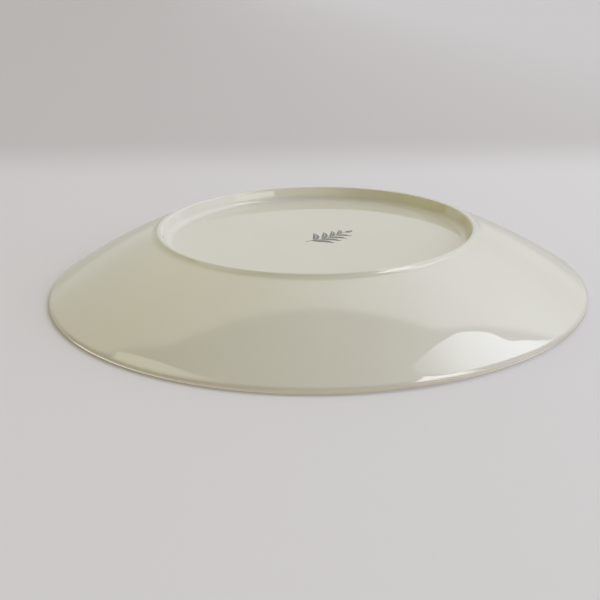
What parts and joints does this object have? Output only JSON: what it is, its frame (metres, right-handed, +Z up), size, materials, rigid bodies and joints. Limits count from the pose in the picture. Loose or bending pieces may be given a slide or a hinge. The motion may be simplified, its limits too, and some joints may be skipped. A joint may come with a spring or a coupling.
{
  "type": "serving bowl",
  "caption": "Shallow round coupe serving bowl in glossy ivory porcelain: smooth flaring wall, rounded lip, flat well and a low foot ring, with a small printed mark underneath.",
  "frame": {"origin": "centre of the foot ring's bearing face, on the plane the bowl stands on", "axes": "+Z up, along the axis of revolution and out through the open mouth; -Y is the side seen in the reference view, and the printed mark under the well points from the middle towards -X +Y"},
  "size_m": [0.28, 0.28, 0.0318],
  "materials": {
    "ivory_glaze": "high-gloss clear glaze on ivory porcelain",
    "foot_glaze": "the same glaze, wiped thin and slightly matt on the bearing face",
    "mark_ink": "dark grey-green transfer print fired under the glaze"
  },
  "bodies": {
    "root": {"bowl_body": "ivory_glaze", "foot_ring": "foot_glaze", "backstamp": "mark_ink"}
  },
  "joints": []
}
